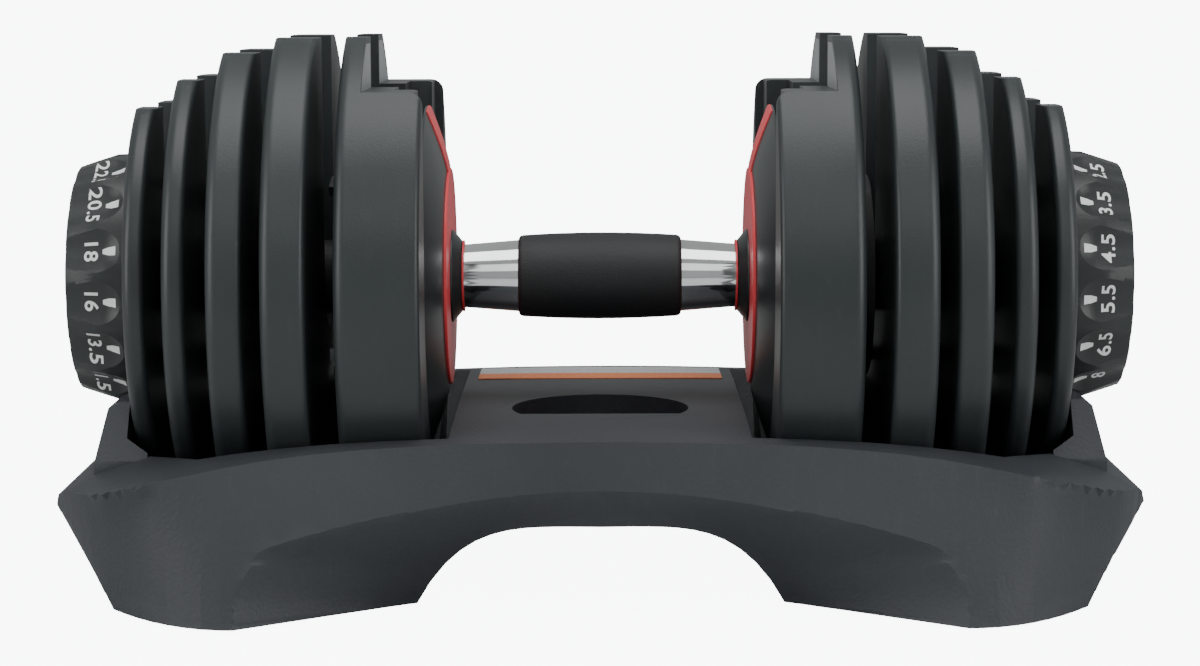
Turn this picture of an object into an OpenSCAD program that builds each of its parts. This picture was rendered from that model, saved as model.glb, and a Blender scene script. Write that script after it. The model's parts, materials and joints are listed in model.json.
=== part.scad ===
// Dial-selected adjustable dumbbell, 24 kg, resting in its moulded tray.
// Millimetres. Origin on the floor under the middle of the tray, +X along the
// handle, +Z up, and the tray's front faces -Y.

/* [Handle] */
// Length of bare handle between the two hub cones
clear_length = 105; // [90:1:140]
// Length of the rubber grip sleeve
grip_length = 63; // [50:1:70]
// Diameter of the grip sleeve at its ends
grip_end_d = 31.4; // [30:0.1:36]
// Diameter of the grip sleeve at its middle
grip_mid_d = 33.6; // [32:0.1:40]
// Diameter of the chrome tube under the grip
tube_mid_d = 27.8; // [25:0.1:29]
// Diameter of the chrome tube where it enters a hub
tube_end_d = 24.5; // [22:0.1:25]
// Diameter of the steel shaft inside the handle
shaft_d = 12; // [9:0.5:14]
// Length of a hub cone, from its tip to the guard's face
hub_length = 4.9; // [3:0.1:8]

/* [Inner guards] */
// Diameter of a domed inner guard
guard_d = 132.2; // [110:0.2:134]
// Diameter of the flat red disc on a guard
red_disc_d = 84; // [60:1:100]
// How far a guard's rim stands behind its flat face
guard_depth = 8.6; // [6:0.1:9]
// Wall of a guard
guard_wall = 3.2; // [2:0.1:4]

/* [Plates] */
// Diameter of plate 1, the innermost and thickest
plate_1_d = 202.8; // [190:0.2:245]
// Diameter of plate 2
plate_2_d = 202.4; // [160:0.2:202.8]
// Diameter of plate 3
plate_3_d = 192.2; // [150:0.2:200]
// Diameter of plate 4
plate_4_d = 174.2; // [140:0.2:190]
// Diameter of plate 5, the outermost and smallest
plate_5_d = 156; // [125:0.5:175]
// Width of plate 1 along the handle
plate_1_width = 30.8; // [25:0.2:40]
// Width of plate 2
plate_2_width = 16; // [13:0.5:20]
// Width of plate 3
plate_3_width = 13; // [10:0.5:16]
// Width of plate 4
plate_4_width = 8.5; // [7:0.5:12]
// Width of plate 5
plate_5_width = 8; // [6.5:0.5:11]
// Gap between plates 1 and 2
gap_1_2 = 10.2; // [7:0.1:14]
// Gap between plates 2 and 3
gap_2_3 = 7; // [6.8:0.1:12]
// Gap between plates 3 and 4
gap_3_4 = 8.5; // [7:0.1:12]
// Gap between plates 4 and 5
gap_4_5 = 7.5; // [7:0.1:12]
// Width of the flat at the top of a plate
flat_width = 80; // [60:1:90]
// Height of plate 1's thick part above the handle's axis
step_height = 74; // [60:1:85]
// Width of the slot that opens each plate upwards
slot_width = 38; // [34:0.5:44]
// Width of plate 1's thin outer part, which carries the two horns
horn_width = 8.4; // [6:0.2:12]
// Moulded skin over a plate's steel core
plate_skin = 1.2; // [0.8:0.1:2]

/* [Dials] */
// Diameter of a dial
dial_d = 96; // [88:1:100]
// Length of a dial along the handle
dial_length = 25; // [22:0.5:32]
// Number of weight settings on a dial
settings = 15; // [15:15]
// Depth of the finger scoops in a dial
scoop_depth = 2.2; // [1:0.1:3]

/* [Tray] */
// Height of the tray's top, at its middle, below the handle's axis
tray_drop = 48; // [40:0.5:52]
// Thickness of tray under plate 1
tray_floor = 12.6; // [9:0.1:20]
// Width of the tray's front and back walls at the top
rim_wall = 13; // [9:0.5:20]
// Half the gap between the tray's feet
foot_gap = 68; // [50:1:74]
// Height of the arch between the feet
arch_height = 32.6; // [20:0.2:34]
// How much lower the tray's corners are than its middle
corner_drop = 30; // [20:0.5:36]
// Diameter of a rubber foot pad
pad_d = 20; // [14:1:26]
// Wall left around the pockets under the tray
tray_wall = 4; // [3:0.5:6]

/* [Hidden] */
$fn = 96;

// Settings, counted from 0 at the lightest, at which each plate is carried:
// each pair is the first setting of a run and the number of settings in it.
CARRIED = [
    [[10, 5]],
    [[6, 9]],
    [[4, 2], [9, 1], [12, 3]],
    [[2, 2], [8, 1], [11, 1], [13, 2]],
    [[1, 1], [3, 1], [5, 1], [7, 1], [14, 1]]
];
REST_SETTING = 14;
PLATES = 5;
step_angle = 360 / settings;

// Stations along the handle, as distances from its middle
hub_tip = clear_length / 2;
guard_face = hub_tip + hub_length;
red_disc_t = 1;
guard_seat = guard_face + red_disc_t;
hub_tip_r = 12.8;
hub_base_r = 17.9;
hub_cone_l = hub_length - 0.6;
guard_back = guard_seat + guard_wall;
rim_station = guard_seat + guard_depth - red_disc_t;
guard_gap = 0.3;
recess_floor = rim_station + 0.9 + guard_gap;
plate_face = recess_floor - 3.2;

plate_r = [plate_1_d, plate_2_d, plate_3_d, plate_4_d, plate_5_d] / 2;
plate_w = [plate_1_width, plate_2_width, plate_3_width, plate_4_width, plate_5_width];
plate_gap = [0, gap_1_2, gap_2_3, gap_3_4, gap_4_5];
function plate_in(i) = i == 0 ? plate_face : plate_out(i - 1) + plate_gap[i];
function plate_out(i) = plate_in(i) + plate_w[i];
function flat_z(i) = sqrt(pow(plate_r[i], 2) - pow(flat_width / 2, 2));
slot_r = slot_width / 2;
rim_round_in = 2.4;
rim_round_out = 4.4;
core_inset = 2.4;

// Plate 1 steps back over its selector and the guard's rim
horn_in = plate_out(0) - horn_width;
recess_half = guard_d / 2 + 3;
pocket_floor = recess_floor + 8.8;
pocket_half = 44.5;
step_round = 5;

// Selectors: a disc on each plate's inner side, with raised arcs that pass
// under the plate's steel tab and carry it.
selector_r = 42;
web_t = 2;
web_gap = 1;
arc_in_r = 35;
arc_out_r = 39;
arc_reach = 1.5;
arc_margin = 1;
tab_l = 3.2;
tab_w = 8;
tab_top = -28;
tab_bottom = -33;
hub_r = 14;
drive_r = 9;
key_w = 4;
key_h = 2;
running_gap = 0.05;
function web_in(i) = i == 0 ? recess_floor + 1.8 : plate_out(i - 1) + web_gap;
function tab_face(i) = i == 0 ? pocket_floor : plate_in(i);
function hub_out(i) = i == PLATES - 1 ? dial_in + 1 : web_in(i + 1);

// Dials
dial_in = plate_out(PLATES - 1) + 1.5;
dial_out = dial_in + dial_length;
dial_r = dial_d / 2;
dial_taper_at = dial_in + dial_length / 2;
dial_end_r = dial_r - 4.1;
dial_wall = 5;
dial_web_t = 4;
scoop_width = 16.6;
scoop_from = dial_in + 5;
shaft_out = dial_out - 14;
drive_in = guard_back + 1;
drive_out = shaft_out - 0.3;
cap_out = dial_out - 2;
cap_t = 2.5;
cap_r = dial_end_r - dial_wall;
washer_t = 1.5;
washer_r = 10;
screw_head_r = 6;
screw_head_h = 3.5;
screw_r = 3;
screw_l = 18;
hex_af = 4;

// Tray
handle_z = plate_r[0] + tray_floor;
tray_top = handle_z - tray_drop;
well_gap = 1.2;
well_r = plate_r[0] + well_gap;
well_in = guard_face - 2.8;
well_taper_at = plate_out(2) + 5;
well_out = dial_in + 0.2;
well_out_r = plate_r[PLATES - 1] + 3;
rim_half = sqrt(pow(well_r, 2) - pow(tray_drop + 6, 2)) + rim_wall;
tray_half = dial_out + 1;
divider_top = 40;
slot_gap = 0.4;
side_gap = 0.6;
base_z = 1;
pad_h = 3;
pad_x = 125;
pad_y = 88;
foot_out = tray_half - 24;
foot_peak = 130;
foot_front = rim_half + 19;
shoulder = [tray_half - 14.5, tray_top - 14];
corner = [tray_half, tray_top - 29.6];
ear_top = handle_z - 41.4;
scoop_top = tray_top - 18.5;
scoop_corner_r = 24;
scoop_corner_z = 6;
scoop_corner_end = 72;
finger_half = 30;
finger_front = -41;
finger_back = 8;
finger_floor = arch_height + 9.4;
label_half = 50;
label_front = 53;
label_back = 91;
label_t = 0.4;

SIDES = [["left", -1], ["right", 1]];

// ---------------------------------------------------------------- helpers

// Points of an arc about c, from angle a to angle b
function arc_points(c, r, a, b, n = 6) =
    [for (k = [0:n]) c + r * [cos(a + (b - a) * k / n), sin(a + (b - a) * k / n)]];

// Turns a profile of [radius, distance along the handle] about the handle's axis
module turned(points) {
    translate([0, 0, handle_z]) rotate([0, 90, 0]) rotate_extrude() polygon(points);
}

// A round bar along the handle between two stations
module bar(r, a, b) {
    translate([a, 0, handle_z]) rotate([0, 90, 0]) cylinder(r = r, h = b - a);
}

// Builds its children on the right, or mirrored to the left
module on_side(s) {
    if (s < 0) mirror([1, 0, 0]) children();
    else children();
}

// A block between two opposite corners
module block(low, high) {
    translate(low) cube(high - low);
}

// A slot of the given half width, round at its bottom and open upwards
module open_slot(half, a, b) {
    bar(half, a, b);
    block([a, -half, handle_z], [b, half, handle_z + plate_r[0] + 5]);
}

// ---------------------------------------------------------------- plates

// Profile of a disc with rounded rims
function rim_profile(r, a, b) =
    let (ri = min(rim_round_in, (b - a) * 0.35), ro = min(rim_round_out, (b - a) * 0.5))
    concat([[0, a]], arc_points([r - ri, a + ri], ri, -90, 0),
        arc_points([r - ro, b - ro], ro, 0, 90), [[0, b]]);

// A disc cut flat at the top
module flat_disc(r, top, a, b) {
    intersection() {
        turned(rim_profile(r, a, b));
        block([a - 1, -r - 1, handle_z - r - 1], [b + 1, r + 1, handle_z + top]);
    }
}

// Plate 1's thick part, with the top's inner edge rounded
module thick_part() {
    intersection() {
        turned(rim_profile(plate_r[0], plate_face, plate_out(0)));
        translate([0, plate_r[0] + 1, handle_z]) rotate([90, 0, 0])
            linear_extrude(height = 2 * plate_r[0] + 2)
                polygon(concat(
                    [[horn_in + 1, -plate_r[0] - 1], [horn_in + 1, step_height]],
                    arc_points([plate_face + step_round, step_height - step_round],
                        step_round, 90, 180),
                    [[plate_face, -plate_r[0] - 1]]));
    }
}

// The whole outside of a plate
module plate_body(i) {
    difference() {
        if (i == 0) {
            union() {
                thick_part();
                intersection() {
                    flat_disc(plate_r[0], flat_z(0), plate_face, plate_out(0));
                    bar(plate_r[0] + 1, horn_in, plate_out(0) + 1);
                }
            }
        } else {
            flat_disc(plate_r[i], flat_z(i), plate_in(i), plate_out(i));
        }
        open_slot(slot_r, plate_in(i) - 1, plate_out(i) + 1);
        if (i == 0) {
            open_slot(recess_half, plate_face - 1, recess_floor);
            open_slot(pocket_half, plate_face - 1, pocket_floor);
        }
    }
}

// A flat steel disc of a core, open at the top like its plate
module core_disc(r, top, a, b) {
    difference() {
        intersection() {
            bar(r - core_inset, a, b);
            block([a - 1, -r, handle_z - r], [b + 1, r, handle_z + top - core_inset]);
        }
        open_slot(slot_r + core_inset, a - 1, b + 1);
    }
}

// The steel tab that a selector's arc passes under
module tab(i, root) {
    block([tab_face(i) - tab_l, -tab_w / 2, handle_z + tab_bottom],
        [root + 0.5, tab_w / 2, handle_z + tab_top]);
}

module plate_core(i) {
    color("silver") {
        if (i == 0) {
            inner_a = pocket_floor + plate_skin;
            union() {
                core_disc(plate_r[0], flat_z(0), horn_in, plate_out(0) - plate_skin);
                core_disc(plate_r[0], step_height, inner_a, inner_a + 7.8);
                for (a = [40, 140, 220, 320])
                    translate([0, 62 * cos(a), 62 * sin(a)]) bar(5, inner_a + 1, horn_in + 1);
                tab(0, inner_a);
            }
        } else {
            union() {
                core_disc(plate_r[i], flat_z(i), plate_in(i) + plate_skin, plate_out(i) - plate_skin);
                tab(i, plate_in(i) + plate_skin);
            }
        }
    }
}

module plate_cover(i) {
    color([0.22, 0.24, 0.25]) difference() {
        plate_body(i);
        plate_core(i);
    }
}

// ---------------------------------------------------------------- drive

// The keyed bore that every selector and dial shares with the drive tube
module keyed(a, b) {
    bar(drive_r, a, b);
    block([a, -key_w / 2, handle_z], [b, key_w / 2, handle_z + drive_r + key_h]);
}

module drive_tube() {
    color("gray") difference() {
        keyed(drive_in, drive_out);
        bar(shaft_d / 2 + running_gap, drive_in - 1, drive_out + 1);
    }
}

// Turn of a setting's sector on the selectors, from the bottom of the disc
function sector(i, s) = s * (i - REST_SETTING) * step_angle;

// One raised arc, over a run of settings
module carry_arc(i, s, run) {
    half = step_angle / 2 - arc_margin;
    middle_a = sector(run[0], 1);
    middle_b = sector(run[0] + run[1] - 1, 1);
    low = s > 0 ? middle_a - half : -middle_b - half;
    translate([web_in(i) + web_t / 2, 0, handle_z]) rotate([0, 90, 0]) rotate([0, 0, low])
        rotate_extrude(angle = middle_b - middle_a + 2 * half)
            translate([arc_in_r, 0]) square([arc_out_r - arc_in_r,
                tab_face(i) - arc_reach - web_in(i) - web_t / 2]);
}

module selector(i, s) {
    color("dimgray") difference() {
        union() {
            bar(selector_r, web_in(i), web_in(i) + web_t);
            bar(hub_r, web_in(i), hub_out(i));
            for (run = CARRIED[i]) carry_arc(i, s, run);
        }
        keyed(web_in(i) - 1, hub_out(i) + 1);
    }
}

// ---------------------------------------------------------------- dial

dial_profile = concat(
    arc_points([dial_r - 1.5, dial_in + 1.5], 1.5, -90, 0),
    [[dial_r, dial_taper_at], [(dial_r + dial_end_r) / 2, dial_out - 6.6]],
    arc_points([dial_end_r - 1, dial_out - 1], 1, 0, 90),
    [[cap_r, dial_out], [cap_r, cap_out - cap_t], [cap_r - 2, cap_out - cap_t],
        [cap_r - 2, dial_in + 1 + dial_web_t], [hub_r + 1, dial_in + 1 + dial_web_t],
        [hub_r + 1, drive_out], [0, drive_out], [0, dial_in + 1],
        [dial_r - 5, dial_in + 1], [dial_r - 5, dial_in]]);

// The round-ended hollow behind one number
module scoop() {
    cut_r = (pow(scoop_width / 2, 2) + pow(scoop_depth, 2)) / (2 * scoop_depth);
    height = dial_r + cut_r - scoop_depth - 0.8;
    tilt = atan((dial_r - dial_end_r) / (dial_out - dial_taper_at)) * 0.6;
    translate([scoop_from + scoop_width / 2, 0, height]) rotate([0, 90 + tilt, 0])
        rotate_extrude() polygon(concat(
            arc_points([0, 0], cut_r, -90, 0, 18), [[cut_r, dial_length], [0, dial_length]]));
}

module dial() {
    color([0.16, 0.17, 0.18]) difference() {
        turned(dial_profile);
        translate([0, 0, handle_z])
            for (k = [0:settings - 1]) rotate([k * step_angle, 0, 0]) scoop();
        keyed(dial_in, drive_out + 1);
    }
}

module dial_cap() {
    color([0.12, 0.12, 0.13]) difference() {
        bar(cap_r, cap_out - cap_t, cap_out);
        difference() {
            bar(cap_r - 6, cap_out - 0.8, cap_out + 1);
            bar(cap_r - 8, cap_out - 2, cap_out + 2);
        }
    }
}

module end_washer() {
    color("silver") difference() {
        bar(washer_r, shaft_out, shaft_out + washer_t);
        bar(screw_r, shaft_out - 1, shaft_out + washer_t + 1);
    }
}

module end_screw() {
    head = shaft_out + washer_t;
    color("silver") difference() {
        union() {
            bar(screw_head_r, head, head + screw_head_h);
            bar(screw_r, head - screw_l, head + 0.5);
        }
        translate([head + 1.2, 0, handle_z]) rotate([0, 90, 0])
            cylinder(r = hex_af / sqrt(3), h = screw_head_h, $fn = 6);
    }
}

// ---------------------------------------------------------------- handle

module centre_shaft() {
    color("silver") difference() {
        bar(shaft_d / 2, -shaft_out, shaft_out);
        for (s = [-1, 1]) on_side(s)
            bar(screw_r, shaft_out + washer_t - screw_l, shaft_out + 1);
    }
}

module handle_tube() {
    neck = grip_length / 2 + 0.1;
    mid = tube_mid_d / 2;
    end = tube_end_d / 2;
    tube_out = guard_back;
    color([0.85, 0.85, 0.87]) turned([
        [shaft_d / 2, -tube_out], [end, -tube_out], [end, -hub_tip], [mid, -neck],
        [mid, neck], [end, hub_tip], [end, tube_out], [shaft_d / 2, tube_out]]);
}

module grip_sleeve() {
    half = grip_length / 2;
    round_r = 1.6;
    bulge = (grip_mid_d - grip_end_d) / 2;
    rows = 8;
    color([0.1, 0.11, 0.12]) turned(concat(
        [[tube_mid_d / 2, -half]],
        arc_points([grip_end_d / 2 - round_r, -half + round_r], round_r, -90, -10),
        [for (k = [0:rows]) let (x = (half - round_r) * (2 * k / rows - 1))
            [grip_end_d / 2 + bulge * (1 - pow(x / half, 2)), x]],
        arc_points([grip_end_d / 2 - round_r, half - round_r], round_r, 10, 90),
        [[tube_mid_d / 2, half]]));
}

module hub_ring() {
    color([0.75, 0.2, 0.2]) turned([
        [tube_end_d / 2, hub_tip], [tube_end_d / 2 + 1.6, hub_tip],
        [tube_end_d / 2 + 1.6, hub_tip + 0.6], [tube_end_d / 2, hub_tip + 0.6]]);
}

module hub_cone() {
    color([0.15, 0.16, 0.17]) turned([
        [tube_end_d / 2, hub_tip + 0.6], [hub_tip_r + 0.6, hub_tip + 0.6],
        [hub_base_r, hub_tip + hub_cone_l], [hub_base_r, guard_seat], [tube_end_d / 2, guard_seat]]);
}

// The guard's front, from the flat disc out to the rim
dome_rise = rim_station - guard_seat;
dome_run = guard_d / 2 - red_disc_d / 2;
function dome_front(t) =
    [red_disc_d / 2 + dome_run * t, guard_seat + dome_rise * (0.42 * t + 0.58 * pow(t, 1.5))];
dome_steps = 8;

module guard() {
    color([0.2, 0.22, 0.23]) turned(concat(
        [[tube_end_d / 2, guard_seat]],
        [for (k = [0:dome_steps]) dome_front(k / dome_steps)],
        [[guard_d / 2, rim_station + 0.9], [guard_d / 2 - 5, rim_station + 0.9]],
        [for (k = [dome_steps - 2:-1:0]) dome_front(k / dome_steps) + [-1.5, guard_wall]],
        [[tube_end_d / 2, guard_back]]));
}

// Flat disc, with a stripe that climbs the dome at the top
module red_disc() {
    stripe_half = 13;
    stripe_t = 0.5;
    color([0.75, 0.25, 0.25]) union() {
        turned([[hub_base_r, guard_face], [red_disc_d / 2 - 0.4, guard_face],
            [red_disc_d / 2, guard_face + 0.4], [red_disc_d / 2, guard_seat],
            [hub_base_r, guard_seat]]);
        translate([0, 0, handle_z]) rotate([0, 90, 0]) rotate([0, 0, 180 - stripe_half])
            rotate_extrude(angle = 2 * stripe_half) polygon(concat(
                [for (k = [0:dome_steps]) dome_front(k / dome_steps) - [0, stripe_t]],
                [for (k = [dome_steps:-1:0]) dome_front(k / dome_steps)],
                [[red_disc_d / 2 - 3, guard_seat], [red_disc_d / 2 - 3, guard_seat - stripe_t]]));
    }
}

// ---------------------------------------------------------------- tray

tray_span = norm([tray_half, rim_half]);

// Height of the domed top at a distance from the middle
function dome_z(d) = tray_top - corner_drop * pow(d / tray_span, 4);

module tray_dome(lift = 0) {
    steps = 18;
    far = tray_span + 12;
    rotate_extrude() polygon(concat([[0, 0]], [[far, 0]],
        [for (k = [steps:-1:0]) [far * k / steps, dome_z(far * k / steps) + lift]]));
}

// Half widths of the tray at its rim and at the floor, at a station x
function rim_y(x) = rim_half - 0.03 * pow(max(abs(x) - (tray_half - 23), 0), 2);
function foot_y(x) = abs(x) < foot_peak
    ? rim_half + 7.5 + (foot_front - rim_half - 7.5) * pow(sin(90 * x / foot_peak), 2)
    : foot_front - 0.0156 * pow(abs(x) - foot_peak, 2);

// Outer skin between the flared front and back, before its top and ends are cut
module tray_flare() {
    steps = 60;
    high = tray_top * 1.3;
    crowding = 0.35;
    function station(t) = tray_half * ((1 + crowding) * t - crowding * pow(t, 3));
    function spread(x, z) = foot_y(x) + (rim_y(x) - foot_y(x)) * z / tray_top;
    function ring(x) = [[x, -spread(x, high), high], [x, -foot_y(x), 0],
        [x, foot_y(x), 0], [x, spread(x, high), high]];
    points = [for (k = [0:steps], p = ring(station(2 * k / steps - 1))) p];
    sides = [for (k = [0:steps - 1], j = [0:3])
        let (a = 4 * k + j, b = 4 * k + (j + 1) % 4) each [[a, b + 4, b], [a, a + 4, b + 4]]];
    last = 4 * steps;
    polyhedron(points, concat([[0, 1, 2, 3]], sides, [[last + 3, last + 2, last + 1, last]]));
}

// Ends: a shoulder, a corner, and a slope in to the feet
module tray_end_outline() {
    high = tray_top * 1.3;
    right = [[foot_out, 0], corner, [corner[0] - 2, corner[1] + 5], shoulder, [shoulder[0], high]];
    translate([0, foot_front + 5, 0]) rotate([90, 0, 0]) linear_extrude(height = 2 * foot_front + 10)
        polygon(concat(right, [for (k = [4:-1:0]) [-right[k][0], right[k][1]]]));
}

// Wall at each end of the wells, hollowed under the dial
module tray_ear() {
    inner = well_out;
    difference() {
        intersection() {
            translate([0, 100, 0]) rotate([90, 0, 0]) linear_extrude(height = 200)
                polygon([[inner - 8, tray_floor], [inner - 8, ear_top], [inner + 5, ear_top],
                    [inner + 8, ear_top - 2.1], [shoulder[0] + 0.3, shoulder[1] - 0.8],
                    [shoulder[0] + 0.3, tray_floor]]);
            rotate([90, 0, 90]) linear_extrude(height = tray_half)
                polygon([[-70, tray_floor], [-66, ear_top - 20], [-52, ear_top], [52, ear_top],
                    [66, ear_top - 20], [70, tray_floor]]);
        }
        bar(dial_r + 3, dial_in - 2, tray_half + 1);
    }
}

// Room for the plates: free above the dividers, fitted to each plate below them
module tray_wells() {
    intersection() {
        turned([[0, well_in], [well_r, well_in], [well_r, well_taper_at],
            [well_out_r, well_out], [0, well_out]]);
        block([0, -well_r, divider_top], [tray_half, well_r, handle_z + 1]);
    }
    for (i = [0:PLATES - 1]) bar(plate_r[i] + slot_gap, plate_in(i) - side_gap, plate_out(i) + side_gap);
}

// Outline of the arch between the feet, from one foot to the other
function arch_z(x) = arch_height * (1 - pow(x / foot_gap, 4));

module tray_arch() {
    steps = 24;
    translate([0, rim_half, 0]) rotate([90, 0, 0]) linear_extrude(height = 2 * rim_half)
        polygon(concat([[-foot_gap, -1]],
            [for (k = [0:steps]) let (x = foot_gap * (2 * k / steps - 1)) [x, arch_z(x)]],
            [[foot_gap, -1]]));
}

// Right half of the scoop's edge on the front face, from the foot to the middle
scoop_corner_x = foot_peak - scoop_corner_r;
scoop_joint = [scoop_corner_x + scoop_corner_r * cos(scoop_corner_end),
    scoop_corner_z + scoop_corner_r * sin(scoop_corner_end)];
scoop_edge = concat(
    [[foot_peak, -1], [foot_peak, scoop_corner_z / 2]],
    arc_points([scoop_corner_x, scoop_corner_z], scoop_corner_r, 0, scoop_corner_end, 11),
    [for (k = [9:-1:0]) let (x = scoop_joint[0] * k / 10)
        [x, scoop_top - (scoop_top - scoop_joint[1]) * pow(x / scoop_joint[0], 1.9)]]);

// The hollow in the tray's front that narrows to the arch
module tray_scoop() {
    count = len(scoop_edge);
    function face_y(z) = -rim_half - 2 - (scoop_top - z) * 0.36;
    function outer(p) = [p[0], face_y(p[1]), p[1]];
    inset = 0.8;
    function inner(k) = let (x = (foot_gap - inset) * sqrt(1 - pow(k / (count - 1), 2)))
        [x, -rim_half + 8 + 18 * pow(x / foot_gap, 2), k == 0 ? -1 : arch_z(x + inset / 2) - inset];
    function past(k) = outer(scoop_edge[k]) + 0.6 * (outer(scoop_edge[k]) - inner(k));
    half = [for (k = [0:count - 1]) [past(k), outer(scoop_edge[k]), inner(k)]];
    rows = concat(half, [for (k = [count - 2:-1:0]) [for (p = half[k]) [-p[0], p[1], p[2]]]]);
    total = len(rows);
    points = [for (r = rows, p = r) p];
    skins = [for (k = [0:total - 2], j = [0:1]) let (a = 3 * k + j, b = a + 3)
        each [[a, b + 1, a + 1], [a, b, b + 1]]];
    function strip(k, j) = let (a = 3 * k + j, b = a + 3, c = 3 * (total - 2 - k) + j, d = c + 3)
        b == c ? [a, b, d] : [a, b, c, d];
    function turned_over(f) = [for (k = [len(f) - 1:-1:0]) f[k]];
    front = [for (k = [0:count - 2]) turned_over(strip(k, 0))];
    back = [for (k = [0:count - 2]) strip(k, 2)];
    last = 3 * (total - 1);
    polyhedron(points, concat(skins, front, back, [[last + 2, last + 1, last, 0, 1, 2]]));
}

// Pockets under the plates, with ribs between them
module tray_pockets() {
    for (i = [0:PLATES - 1]) {
        a = max(plate_in(i), foot_gap + tray_wall);
        top = handle_z - plate_r[i] - slot_gap - tray_wall;
        block([a, -60, -1], [plate_out(i), 60, top]);
    }
}

// Half-moon hollow for the fingers in the bridge
module finger_hollow() {
    depth = finger_back - finger_front;
    moon_r = (pow(finger_half, 2) + pow(depth, 2)) / (2 * depth);
    intersection() {
        translate([0, finger_back - moon_r, finger_floor]) cylinder(r = moon_r, h = tray_top);
        block([-60, finger_front, finger_floor], [60, finger_back + 1, tray_top + 5]);
    }
}

module foot_pads(gap = 0) {
    for (x = [-pad_x, pad_x], y = [-pad_y, pad_y])
        translate([x, y, -gap]) cylinder(r = pad_d / 2, h = pad_h + gap);
}

module tray_shell() {
    color([0.24, 0.25, 0.27]) difference() {
        union() {
            intersection() {
                tray_flare();
                tray_dome();
                tray_end_outline();
            }
            for (s = [-1, 1]) on_side(s) tray_ear();
        }
        for (s = [-1, 1]) on_side(s) {
            tray_wells();
            tray_pockets();
        }
        tray_arch();
        tray_scoop();
        mirror([0, 1, 0]) tray_scoop();
        finger_hollow();
        foot_pads(5);
        block([-300, -300, -10], [300, 300, base_z]);
    }
}

module tray_feet() {
    color([0.1, 0.1, 0.1]) foot_pads();
}

// Blank warning plate on the bridge, following the domed top
module tray_label() {
    color([0.7, 0.7, 0.7]) intersection() {
        difference() {
            tray_dome(label_t);
            tray_dome();
        }
        block([-label_half, label_front, tray_top - 10], [label_half, label_back, tray_top + 5]);
    }
}

// ---------------------------------------------------------------- nodes

tray_shell();
tray_feet();
tray_label();
centre_shaft();
handle_tube();
grip_sleeve();
for (s = SIDES) {
    side = s[0];
    on_side(s[1]) hub_ring();
    on_side(s[1]) hub_cone();
    on_side(s[1]) guard();
    on_side(s[1]) red_disc();
    on_side(s[1]) drive_tube();
    on_side(s[1]) dial();
    on_side(s[1]) dial_cap();
    on_side(s[1]) end_washer();
    on_side(s[1]) end_screw();
    for (i = [0:PLATES - 1]) {
        plate = str(side, "_plate_", i + 1);
        on_side(s[1]) selector(i, s[1]);
        on_side(s[1]) plate_cover(i);
        on_side(s[1]) plate_core(i);
    }
}
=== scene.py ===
"""Visual model of a dial-selected adjustable dumbbell resting in its moulded tray.

Everything is in metres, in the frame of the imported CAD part: +X along the handle, +Z up,
the origin on the floor under the middle of the tray, and the tray's front towards -Y.
"""

import json
import logging
import math
from dataclasses import dataclass, field
from enum import Enum
from typing import Callable, Optional

import bmesh
import bpy
from mathutils import Matrix, Vector
from mathutils.bvhtree import BVHTree


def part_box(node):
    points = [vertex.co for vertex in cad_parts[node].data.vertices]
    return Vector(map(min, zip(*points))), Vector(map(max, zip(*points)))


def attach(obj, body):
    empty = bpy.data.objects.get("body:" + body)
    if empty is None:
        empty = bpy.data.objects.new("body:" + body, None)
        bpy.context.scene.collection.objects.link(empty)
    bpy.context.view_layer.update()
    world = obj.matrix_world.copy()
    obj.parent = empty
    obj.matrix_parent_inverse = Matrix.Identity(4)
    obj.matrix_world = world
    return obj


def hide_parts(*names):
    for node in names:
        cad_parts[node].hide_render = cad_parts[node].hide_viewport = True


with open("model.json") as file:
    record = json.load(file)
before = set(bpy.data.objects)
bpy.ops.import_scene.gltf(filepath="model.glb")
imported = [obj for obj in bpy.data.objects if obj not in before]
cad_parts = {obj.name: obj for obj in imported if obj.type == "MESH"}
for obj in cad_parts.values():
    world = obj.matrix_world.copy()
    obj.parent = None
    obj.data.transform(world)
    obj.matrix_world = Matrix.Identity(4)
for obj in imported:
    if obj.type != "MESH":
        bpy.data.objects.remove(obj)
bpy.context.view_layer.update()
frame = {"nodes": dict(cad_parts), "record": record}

LOG = logging.getLogger("dumbbell")
MM = 0.001
MERGE_WITHIN = 0.002 * MM
CUT_WITHIN = 1e-7
FLAT_WITHIN = math.radians(0.4)
ROUND_FROM = 35.0
CRISP_FROM = 32.0
GRAIN_SCALE = 900.0
MOTTLE_SCALE = 14.0
SCUFF_SCALE = 60.0
SCUFF_ABOVE = 0.56
SCUFF_STEEP = 7.0
SCUFF_DULLS = 0.18
# Convex edges are made paler: rubbed wear, and partly a painted highlight along the edges.
WEAR_AND_HIGHLIGHT_SCALE = 220.0
WEAR_AND_HIGHLIGHT_ABOVE = 0.515
WEAR_AND_HIGHLIGHT_STEEP = 14.0
NOISE_MIDDLE = (0.3, 0.7)
LIGHTER = (1.22, 0.004)
# Paler tone for scuffs, and for convex edges, where it is wear and partly a painted highlight.
RUBBED_AND_HIGHLIGHT = (1.9, 0.02)
GRAIN_HEIGHT = 0.0004
LINE_HEIGHT = 0.0002
PALE = (0.97, 1.0, 0.995, 1.0)
BODY_OF = {n: b for b, nodes in frame["record"]["behaviour"]["bodies"].items() for n in nodes}
SLOT_OF = {s["node"]: s["material_slot"] for s in frame["record"]["subparts"]}
AXIS_Z = frame["record"]["behaviour"]["joints"][1]["pos_m"][2]
Colour = tuple[float, float, float]


class Side(Enum):
    """The two ends of the dumbbell; the value is the sign of X."""

    LEFT = -1
    RIGHT = 1

    @property
    def word(self) -> str:
        """The side's name as node names use it."""
        return self.name.lower()


# ------------------------------------------------------------------ node groups


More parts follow.
